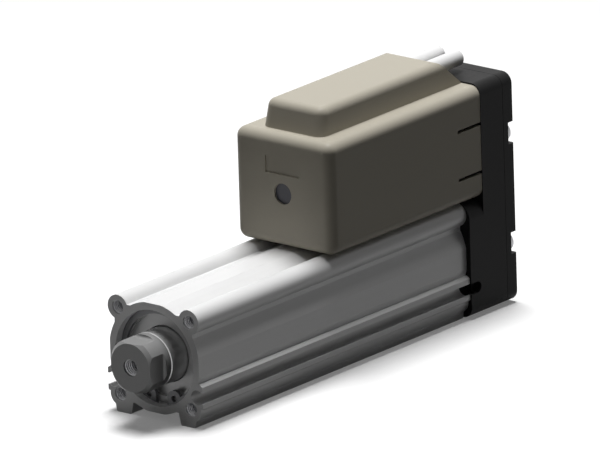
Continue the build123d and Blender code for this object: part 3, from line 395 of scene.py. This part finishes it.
class PaintShop:
    """Turns finishes into materials, each built once."""

    def __init__(self) -> None:
        """Builds the shared effects."""
        self.effects = SharedEffects()
        self.made: dict[str, bpy.types.Material] = {}

    def material(self, slot: str) -> bpy.types.Material:
        """Builds or finds the material of a slot.

        Args:
            slot: the finish's name, which is also the record's material slot.

        Returns:
            The material.
        """
        if slot not in self.made:
            self.made[slot] = self.mix(slot, FINISHES[slot])
        return self.made[slot]

    def mix(self, name: str, finish: Finish) -> bpy.types.Material:
        """Builds one material.

        Args:
            name: the material's name.
            finish: what it looks like.

        Returns:
            The material.
        """
        material = bpy.data.materials.new(name)
        material.use_nodes = True
        graph = Graph(material.node_tree)
        shader = material.node_tree.nodes["Principled BSDF"]
        marks = self.place(graph, self.effects.marks, {"Marks": finish.grain.value})
        wear = self.place(graph, self.effects.wear, {"Amount": finish.wear})
        dust = self.place(graph, self.effects.dust, {"Amount": finish.dust})
        low = tuple(part * (1 - finish.mottle) for part in finish.colour)
        high = tuple(min(1.0, part * (1 + finish.mottle)) for part in finish.colour)
        base = graph.blend(marks.outputs["Mottle"], (*low, 1), (*high, 1))
        rubbed = graph.blend(wear.outputs["Wear"], base, (*finish.worn, 1))
        dusty = graph.blend(dust.outputs["Dust"], rubbed, DUST_COLOUR)
        smooth, coarse = (finish.roughness + step for step in ROUGHNESS_SPREAD)
        rough = graph.ramp(marks.outputs["Mottle"], MOTTLE_SPREAD, (smooth, coarse))
        bump = graph.add(
            "ShaderNodeBump",
            {
                "Height": marks.outputs["Height"],
                "Distance": finish.depth * MM, "Strength": MARK_STRENGTH,
            },
        )
        shader.inputs["Metallic"].default_value = finish.metallic
        shader.inputs["Specular IOR Level"].default_value = finish.gloss
        varying = {"Base Color": dusty, "Roughness": rough, "Normal": bump.outputs[0]}
        for label, socket in varying.items():
            material.node_tree.links.new(socket, shader.inputs[label])
        return material

    @staticmethod
    def place(graph: Graph, group: bpy.types.NodeTree, values: dict[str, Any]) -> bpy.types.Node:
        """Puts a shared effect in a material.

        Args:
            graph: the material's graph.
            group: the effect.
            values: this material's own values.

        Returns:
            The group's node.
        """
        node = graph.add("ShaderNodeGroup", node_tree=group)
        for label, value in values.items():
            node.inputs[label].default_value = value
        return node


@dataclass
class Studio:
    """Camera, lamps, floor and backdrop.

    Attributes:
        target: the point in the middle of the picture, in millimetres.
        azimuth: the camera's turn round the object, in degrees.
        elevation: the camera's height above the horizon, in degrees.
        roll: how far the picture is turned, in degrees.
        distance: from the target to the camera, in millimetres.
        lens: focal length in millimetres.
        floor: height of the floor, in millimetres.
    """

    target: Point = (1.571, 63.526, 20.444)
    azimuth: float = 39.428
    elevation: float = 17.585
    roll: float = -1.753
    distance: float = 5601.4
    lens: float = 1200.0
    floor: float = -18.0

    def camera(self) -> None:
        """Makes the camera and sets it as the scene's."""
        turn, lift = math.radians(self.azimuth), math.radians(self.elevation)
        level = Vector((math.sin(turn), -math.cos(turn), 0.0))
        back = level * math.cos(lift) + Vector((0.0, 0.0, math.sin(lift)))
        right = Vector((math.cos(turn), math.sin(turn), 0.0))
        up = back.cross(right)
        axes = Matrix((right, up, back)).transposed()
        spin = Matrix.Rotation(math.radians(self.roll), 3, "Z")
        data = bpy.data.cameras.new("camera")
        data.lens, data.sensor_width = self.lens, SENSOR_WIDTH
        data.clip_start, data.clip_end = CAMERA_RANGE
        camera = bpy.data.objects.new("camera", data)
        bpy.context.scene.collection.objects.link(camera)
        place = (axes @ spin).to_4x4()
        place.translation = (Vector(self.target) + back * self.distance) * MM
        camera.matrix_world = place
        bpy.context.scene.camera = camera

    def lamp(self, name: str, place: Point, size: float, power: float) -> None:
        """Adds a soft square lamp that points at the object.

        Args:
            name: the lamp's name.
            place: where it hangs, in metres.
            size: its side, in metres.
            power: its power, in watts.
        """
        data = bpy.data.lights.new(name, "AREA")
        data.size, data.energy = size, power
        lamp = bpy.data.objects.new(name, data)
        lamp.location = place
        aim = Vector(self.target) * MM - Vector(place)
        lamp.rotation_euler = aim.to_track_quat("-Z", "Y").to_euler()
        bpy.context.scene.collection.objects.link(lamp)

    def lamps(self) -> None:
        """Hangs the large soft lamp overhead and a weak one that fills the rod end."""
        self.lamp("key", (-0.1, 0.22, 1.28), size=0.55, power=22.5)
        self.lamp("fill", (-0.35, -0.9, 1.0), size=0.8, power=0.5)

    def backdrop(self) -> None:
        """Lays the pale floor, seen through from below, and sets the white surroundings."""
        mesh = bpy.data.meshes.new("floor")
        form = bmesh.new()
        bmesh.ops.create_grid(form, x_segments=1, y_segments=1, size=FLOOR_REACH)
        form.to_mesh(mesh)
        form.free()
        mesh.transform(Matrix.Translation((0, 0, self.floor * MM)))
        floor = bpy.data.objects.new("floor", mesh)
        bpy.context.scene.collection.objects.link(floor)
        mesh.materials.append(self.paper())
        world = bpy.data.worlds.new("world")
        world.use_nodes = True
        bpy.context.scene.world = world
        graph = Graph(world.node_tree)
        back = world.node_tree.nodes["Background"]
        level = graph.ramp(self.seen_directly(graph), (0.0, 1.0), (AMBIENT_LEVEL, 1.0))
        world.node_tree.links.new(level, back.inputs["Strength"])
        back.inputs["Color"].default_value = WHITE

    def paper(self) -> bpy.types.Material:
        """Builds the floor's white paper, which keeps the shadow and fades out round the object.

        Returns:
            The material.
        """
        material = bpy.data.materials.new("floor")
        material.use_nodes = True
        graph = Graph(material.node_tree)
        material.node_tree.nodes.clear()
        seen = self.seen_directly(graph)
        paper = graph.add("ShaderNodeBsdfDiffuse", {"Color": graph.blend(seen, DIM_PAPER, WHITE)})
        glow = graph.add("ShaderNodeEmission", {"Color": WHITE, "Strength": seen})
        place = graph.add("ShaderNodeTexCoord").outputs["Object"]
        away = graph.add("ShaderNodeVectorMath", {0: place}, operation="LENGTH")
        fade = graph.ramp(away.outputs["Value"], FLOOR_FADE, FLOOR_GLOW)
        share = graph.math("MULTIPLY", seen, fade)
        mixed = graph.add(
            "ShaderNodeMixShader", {0: share, 1: paper.outputs[0], 2: glow.outputs[0]}
        )
        below = graph.add("ShaderNodeNewGeometry").outputs["Backfacing"]
        clear = graph.add("ShaderNodeBsdfTransparent")
        one_way = graph.add(
            "ShaderNodeMixShader", {0: below, 1: mixed.outputs[0], 2: clear.outputs[0]}
        )
        graph.add("ShaderNodeOutputMaterial", {"Surface": one_way.outputs[0]})
        return material

    @staticmethod
    def seen_directly(graph: Graph) -> bpy.types.NodeSocket:
        """Tells the rays that show the background from those that only light the object.

        Args:
            graph: the graph to add to.

        Returns:
            A socket that is 1 for camera, glossy and transmission rays.
        """
        path = graph.add("ShaderNodeLightPath")
        names = ("Is Camera Ray", "Is Glossy Ray", "Is Transmission Ray")
        first, second, third = (path.outputs[name] for name in names)
        return graph.math("MAXIMUM", first, graph.math("MAXIMUM", second, third))


class Workshop:
    """Makes finished pieces from geometry node trees."""

    def __init__(self, paint: PaintShop) -> None:
        """Keeps the paint shop."""
        self.paint = paint

    def grown(
        self, name: str, tree: bpy.types.NodeTree, values: dict[str, Any], slot: str, body: str
    ) -> bpy.types.Object:
        """Grows a piece from a geometry node tree and turns it into a plain mesh.

        Args:
            name: the piece's name.
            tree: the tree that makes it.
            values: the tree's inputs, by name.
            slot: the material slot.
            body: the body that it rides on.

        Returns:
            The finished piece.
        """
        seed = bpy.data.objects.new(name + "_seed", bpy.data.meshes.new(name + "_seed"))
        bpy.context.scene.collection.objects.link(seed)
        modifier = seed.modifiers.new("grow", "NODES")
        modifier.node_group = tree
        for item in tree.interface.items_tree:
            if item.item_type != "SOCKET" or item.in_out != "INPUT":
                continue
            if item.name in values:
                modifier[item.identifier] = values[item.name]
            elif item.name == "Material":
                modifier[item.identifier] = self.paint.material(slot)
        graph = bpy.context.evaluated_depsgraph_get()
        mesh = bpy.data.meshes.new_from_object(seed.evaluated_get(graph), depsgraph=graph)
        seed.modifiers.remove(modifier)
        bpy.data.objects.remove(seed)
        return self.finished(name, mesh, slot, body)

    def finished(self, name: str, mesh: bpy.types.Mesh, slot: str, body: str) -> bpy.types.Object:
        """Dresses a mesh, makes it ride on its body and reports it.

        Args:
            name: the piece's name.
            mesh: its mesh, in place and in metres.
            slot: the material slot.
            body: the body that it rides on.

        Returns:
            The piece.
        """
        mesh.name = name
        mesh.materials.clear()
        mesh.materials.append(self.paint.material(slot))
        piece = bpy.data.objects.new(name, mesh)
        bpy.context.scene.collection.objects.link(piece)
        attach(piece, body)
        log.info("%s: %d faces, on %s", name, len(mesh.polygons), body)
        return piece


def grow_group(name: str, inputs: dict[str, Any]) -> tuple[Graph, bpy.types.Node, bpy.types.Node]:
    """Starts a geometry node tree whose last input is its material.

    Args:
        name: the tree's name.
        inputs: the default of each size, by name.

    Returns:
        The tree's graph, its input node and its output node.
    """
    outputs = {"Geometry": "NodeSocketGeometry"}
    graph, given, out = new_group(name, "GeometryNodeTree", inputs, outputs)
    graph.tree.interface.new_socket("Material", in_out="INPUT", socket_type="NodeSocketMaterial")
    return graph, given, out


def close_group(
    graph: Graph, given: bpy.types.Node, out: bpy.types.Node, form: bpy.types.NodeSocket
) -> None:
    """Ends a geometry node tree with Realize Instances and Set Material.

    Args:
        graph: the tree's graph.
        given: its input node.
        out: its output node.
        form: the geometry to end with.
    """
    real = graph.add("GeometryNodeRealizeInstances", {"Geometry": form})
    painted = graph.add(
        "GeometryNodeSetMaterial",
        {"Geometry": real.outputs[0], "Material": given.outputs["Material"]},
    )
    graph.tree.links.new(painted.outputs[0], out.inputs[0])


def in_metres(sizes: Point) -> Point:
    """Turns three lengths in millimetres into metres."""
    return tuple(size * MM for size in sizes)


def set_round(
    graph: Graph,
    form: bpy.types.NodeSocket,
    count: bpy.types.NodeSocket,
    middle: bpy.types.NodeSocket,
) -> bpy.types.NodeSocket:
    """Sets copies of a form evenly round an axis along Y.

    Args:
        graph: the tree's graph.
        form: the form, standing out along Z.
        count: how many copies.
        middle: a point on the axis.

    Returns:
        The ring of copies.
    """
    centre = graph.add(
        "GeometryNodeMeshLine", {"Count": count, "Offset": (0.0, 0.0, 0.0)}, mode="OFFSET"
    )
    place = graph.add("GeometryNodeInputIndex")
    step = graph.math("DIVIDE", 2 * math.pi, count)
    angle = graph.math("MULTIPLY", place.outputs[0], step)
    turned = graph.add("ShaderNodeCombineXYZ", {"Y": angle})
    ring = graph.add(
        "GeometryNodeInstanceOnPoints",
        {"Points": centre.outputs[0], "Instance": form, "Rotation": turned.outputs[0]},
    )
    moved = graph.add(
        "GeometryNodeTransform", {"Geometry": ring.outputs[0], "Translation": middle}
    )
    return moved.outputs[0]


class TapAxis(Enum):
    """The way a tapped hole runs into the part, as the turn of its thread about X, Y and Z."""

    BACKWARD = UPRIGHT_TO_BACKWARD
    UPWARD = (0.0, 0.0, 0.0)


@dataclass
class TappedHoles:
    """Helical threads in a rectangle of tapped holes.

    Attributes:
        name: the piece's name.
        body: the body that it rides on.
        slot: the material slot.
        way: the way the holes run in.
        middle: the middle of the rectangle of mouths, in millimetres.
        columns: holes along the first side.
        rows: holes along the second side.
        spacing: distance between holes along the two sides.
        radius: outside radius of the thread.
        pitch: the thread's pitch.
        depth: threaded depth.
    """

    name: str
    body: str
    slot: str
    way: TapAxis
    middle: Point
    columns: int
    rows: int
    spacing: tuple[float, float]
    radius: float
    pitch: float
    depth: float

    @staticmethod
    def tree() -> bpy.types.NodeTree:
        """Builds the tree that winds one thread ridge and sets it in each hole.

        Returns:
            The tree.
        """
        sizes = {
            "Radius": 0.002, "Pitch": 0.0007, "Depth": 0.01, "Columns": 2, "Rows": 2,
            "Spacing X": 0.02, "Spacing Y": 0.02,
            "Middle": (0.0, 0.0, 0.0), "Turn": (0.0, 0.0, 0.0),
        }
        graph, given, out = grow_group("tapped_holes", sizes)
        size = given.outputs
        turns = graph.math("DIVIDE", size["Depth"], size["Pitch"])
        height = graph.math("MULTIPLY", size["Pitch"], THREAD_HEIGHT)
        inset = graph.math("MULTIPLY", height, THREAD_INSET)
        middle_radius = graph.math("SUBTRACT", size["Radius"], inset)
        spiral = graph.add(
            "GeometryNodeCurveSpiral",
            {
                "Resolution": 28, "Rotations": turns, "Height": size["Depth"],
                "Start Radius": middle_radius, "End Radius": middle_radius,
            },
        )
        half_pitch = graph.math("MULTIPLY", size["Pitch"], 0.5)
        ridge = graph.add(
            "GeometryNodeCurvePrimitiveCircle", {"Resolution": 3, "Radius": half_pitch}
        )
        swept = graph.add(
            "GeometryNodeCurveToMesh",
            {"Curve": spiral.outputs[0], "Profile Curve": ridge.outputs[0], "Fill Caps": True},
        )
        steps_x = graph.math("SUBTRACT", size["Columns"], 1.0)
        steps_y = graph.math("SUBTRACT", size["Rows"], 1.0)
        mouths = graph.add(
            "GeometryNodeMeshGrid",
            {
                "Size X": graph.math("MULTIPLY", size["Spacing X"], steps_x),
                "Size Y": graph.math("MULTIPLY", size["Spacing Y"], steps_y),
                "Vertices X": size["Columns"], "Vertices Y": size["Rows"],
            },
        )
        placed = graph.add(
            "GeometryNodeInstanceOnPoints",
            {"Points": mouths.outputs[0], "Instance": swept.outputs[0]},
        )
        moved = graph.add(
            "GeometryNodeTransform",
            {
                "Geometry": placed.outputs[0],
                "Translation": size["Middle"], "Rotation": size["Turn"],
            },
        )
        close_group(graph, given, out, moved.outputs[0])
        return graph.tree

    def build(self, shop: Workshop, tree: bpy.types.NodeTree) -> None:
        """Makes the threads.

        Args:
            shop: the workshop.
            tree: the tree from tree().
        """
        margin = self.pitch * THREAD_MARGIN
        values = {
            "Radius": self.radius * MM, "Pitch": self.pitch * MM,
            "Depth": (self.depth - 2 * margin) * MM,
            "Columns": self.columns, "Rows": self.rows,
            "Spacing X": self.spacing[0] * MM, "Spacing Y": self.spacing[1] * MM,
            "Middle": in_metres(self.start(margin)), "Turn": self.way.value,
        }
        shop.grown(self.name, tree, values, self.slot, self.body)

    def start(self, margin: float) -> Point:
        """Finds the middle of the holes' mouths, a margin inside them."""
        x, y, z = self.middle
        return (x, y + margin, z) if self.way is TapAxis.BACKWARD else (x, y, z + margin)


@dataclass
class CutCable:
    """The bare cores at the cut end of a cable stub.

    Attributes:
        name: the piece's name.
        side: the cable's place across the part, in millimetres.
        height: its height above the rod axis.
        end: the station of the cut.
        cores: how many insulated cores show.
        ring: radius of the circle that the cores stand on.
        core: radius of one core.
        reach: how far the cores stand out of the jacket.
        bare: how far the strands stand out of the cores.
        sunk: how far the cores reach into the jacket.
        strand: radius of the copper, as a share of its core's.
    """

    name: str
    side: float
    height: float
    end: float
    cores: int
    ring: float
    core: float
    reach: float = 0.5
    bare: float = 0.3
    sunk: float = 0.2
    strand: float = 0.55

    @staticmethod
    def tree() -> bpy.types.NodeTree:
        """Builds the tree that stands round cores on a circle, each cut off flat.

        Returns:
            The tree.
        """
        sizes = {
            "Cores": 4, "Ring": 0.001, "Core": 0.0005, "Reach": 0.001, "Middle": (0.0, 0.0, 0.0),
        }
        graph, given, out = grow_group("cable_cores", sizes)
        size = given.outputs
        circle = graph.add(
            "GeometryNodeMeshCircle", {"Vertices": size["Cores"], "Radius": size["Ring"]}
        )
        top = graph.add("ShaderNodeCombineXYZ", {"Z": size["Reach"]})
        line = graph.add(
            "GeometryNodeCurvePrimitiveLine", {"Start": (0.0, 0.0, 0.0), "End": top.outputs[0]}
        )
        section = graph.add(
            "GeometryNodeCurvePrimitiveCircle", {"Resolution": 16, "Radius": size["Core"]}
        )
        core = graph.add(
            "GeometryNodeCurveToMesh",
            {"Curve": line.outputs[0], "Profile Curve": section.outputs[0], "Fill Caps": True},
        )
        placed = graph.add(
            "GeometryNodeInstanceOnPoints",
            {"Points": circle.outputs[0], "Instance": core.outputs[0]},
        )
        moved = graph.add(
            "GeometryNodeTransform",
            {
                "Geometry": placed.outputs[0],
                "Translation": size["Middle"], "Rotation": UPRIGHT_TO_BACKWARD,
            },
        )
        close_group(graph, given, out, moved.outputs[0])
        return graph.tree

    def build(self, shop: Workshop, tree: bpy.types.NodeTree) -> None:
        """Makes the insulated cores and the copper inside them.

        Args:
            shop: the workshop.
            tree: the tree from tree().
        """
        middle = in_metres((self.side, self.end - self.sunk, self.height))
        for label, slot, core, reach in (
            ("cores", "cap_plastic", self.core, self.reach),
            ("strands", "winding", self.core * self.strand, self.reach + self.bare),
        ):
            values = {
                "Cores": self.cores, "Ring": self.ring * MM, "Core": core * MM,
                "Reach": (reach + self.sunk) * MM, "Middle": middle,
            }
            shop.grown(f"{self.name}_{label}", tree, values, slot, "root")


@dataclass
class StatorWinding:
    """Enamelled wire wound round the stator's poles.

    Attributes:
        poles: how many poles there are.
        inner: radius of the innermost turn, in millimetres.
        outer: radius of the outermost turn.
        turns: turns on each pole.
        length: length of a turn along the rod axis.
        width: width of a turn across the pole.
        wire: radius of the wire.
        middle: the winding's middle.
    """

    poles: int = 8
    inner: float = 10.05
    outer: float = 12.05
    turns: int = 9
    length: float = 30.0
    width: float = 4.1
    wire: float = 0.12
    middle: Point = (0.0, 103.4, 32.5)

    @staticmethod
    def tree() -> bpy.types.NodeTree:
        """Builds the tree that stacks rounded turns of wire and sets a stack round each pole.

        Returns:
            The tree.
        """
        sizes = {
            "Poles": 8, "Turns": 9, "Inner": 0.01, "Outer": 0.012, "Length": 0.03,
            "Width": 0.003, "Wire": 0.0001, "Middle": (0.0, 0.0, 0.0),
        }
        graph, given, out = grow_group("stator_winding", sizes)
        size = given.outputs
        oblong = graph.add(
            "GeometryNodeCurvePrimitiveQuadrilateral",
            {"Width": size["Width"], "Height": size["Length"]},
        )
        bend = graph.math("MULTIPLY", size["Wire"], 2.0)
        rounded = graph.add(
            "GeometryNodeFilletCurve",
            {"Curve": oblong.outputs[0], "Count": 4, "Radius": bend},
            mode="POLY",
        )
        section = graph.add(
            "GeometryNodeCurvePrimitiveCircle", {"Resolution": 8, "Radius": size["Wire"]}
        )
        turn = graph.add(
            "GeometryNodeCurveToMesh",
            {"Curve": rounded.outputs[0], "Profile Curve": section.outputs[0]},
        )
        first = graph.add("ShaderNodeCombineXYZ", {"Z": size["Inner"]})
        last = graph.add("ShaderNodeCombineXYZ", {"Z": size["Outer"]})
        stack = graph.add(
            "GeometryNodeMeshLine",
            {
                "Count": size["Turns"],
                "Start Location": first.outputs[0], "Offset": last.outputs[0],
            },
            mode="END_POINTS",
        )
        wound = graph.add(
            "GeometryNodeInstanceOnPoints",
            {"Points": stack.outputs[0], "Instance": turn.outputs[0]},
        )
        ring = set_round(graph, wound.outputs[0], size["Poles"], size["Middle"])
        close_group(graph, given, out, ring)
        return graph.tree

    def build(self, shop: Workshop) -> None:
        """Makes the winding.

        Args:
            shop: the workshop.
        """
        values = {
            "Poles": self.poles, "Turns": self.turns,
            "Inner": self.inner * MM, "Outer": self.outer * MM,
            "Length": self.length * MM, "Width": self.width * MM, "Wire": self.wire * MM,
            "Middle": in_metres(self.middle),
        }
        shop.grown("stator_winding", self.tree(), values, "winding", "root")


@dataclass
class EncoderTrack:
    """The ring of dark marks that the sensor reads on the encoder disc.

    Attributes:
        marks: how many marks.
        inner: radius of the marks' inner end, in millimetres.
        outer: radius of their outer end.
        width: width of a mark.
        height: how far a mark stands out of the disc.
        middle: the ring's middle, on the disc's face.
    """

    marks: int = 90
    inner: float = 6.6
    outer: float = 8.6
    width: float = 0.26
    height: float = 0.03
    middle: Point = (0.0, 67.6, 32.5)

    @staticmethod
    def tree() -> bpy.types.NodeTree:
        """Builds the tree that sets one mark round the disc.

        Returns:
            The tree.
        """
        sizes = {
            "Marks": 90, "Radius": 0.008,
            "Mark": (0.0003, 0.0001, 0.002), "Middle": (0.0, 0.0, 0.0),
        }
        graph, given, out = grow_group("encoder_track", sizes)
        size = given.outputs
        mark = graph.add("GeometryNodeMeshCube", {"Size": size["Mark"]})
        rise = graph.add("ShaderNodeCombineXYZ", {"Z": size["Radius"]})
        lifted = graph.add(
            "GeometryNodeTransform", {"Geometry": mark.outputs[0], "Translation": rise.outputs[0]}
        )
        ring = set_round(graph, lifted.outputs[0], size["Marks"], size["Middle"])
        close_group(graph, given, out, ring)
        return graph.tree

    def build(self, shop: Workshop) -> None:
        """Makes the marks.

        Args:
            shop: the workshop.
        """
        mark = (self.width, self.height * 2, self.outer - self.inner)
        values = {
            "Marks": self.marks, "Radius": (self.inner + self.outer) / 2 * MM,
            "Mark": in_metres(mark), "Middle": in_metres(self.middle),
        }
        shop.grown("encoder_track", self.tree(), values, "cap_plastic", "rotor")


def dress_cad(paint: PaintShop) -> None:
    """Gives every CAD node the material of its slot in the record.

    Args:
        paint: the paint shop.
    """
    for entry in frame["record"]["subparts"]:
        node = frame["nodes"][entry["node"]]
        for holder in node.material_slots:
            holder.material = paint.material(entry["material_slot"])
        log.info("%s: dressed as %s", entry["node"], entry["material_slot"])


def main() -> None:
    """Builds the studio, dresses the CAD and adds the details."""
    logging.basicConfig(level=logging.INFO, format="%(message)s")
    bpy.context.scene.view_settings.view_transform = "Standard"
    studio = Studio()
    studio.camera()
    studio.lamps()
    studio.backdrop()
    paint = PaintShop()
    dress_cad(paint)
    shop = Workshop(paint)
    threads = TappedHoles.tree()
    for holes in (
        TappedHoles(
            "front_threads", "root", "steel_zinc", TapAxis.BACKWARD, middle=(0, 0, 0),
            columns=2, rows=2, spacing=(25.5, 25.5), radius=2.0, pitch=0.7, depth=10.0,
        ),
        TappedHoles(
            "foot_threads", "root", "steel_zinc", TapAxis.UPWARD, middle=(0, 31.0, -18.0),
            columns=2, rows=2, spacing=(23.0, 32.0), radius=2.0, pitch=0.7, depth=5.5,
        ),
        TappedHoles(
            "rod_thread", "rod", "steel_zinc", TapAxis.BACKWARD, middle=(0, -10.5, 0),
            columns=1, rows=1, spacing=(0, 0), radius=2.5, pitch=0.8, depth=10.0,
        ),
    ):
        holes.build(shop, threads)
    StatorWinding().build(shop)
    EncoderTrack().build(shop)
    cores = CutCable.tree()
    for cable in (
        CutCable("motor_cable", 3.3, 53.62, 133.6, cores=4, ring=1.05, core=0.55),
        CutCable("encoder_cable", -3.3, 53.62, 133.6, cores=6, ring=1.3, core=0.42),
    ):
        cable.build(shop, cores)


if __name__ == "__main__":
    main()
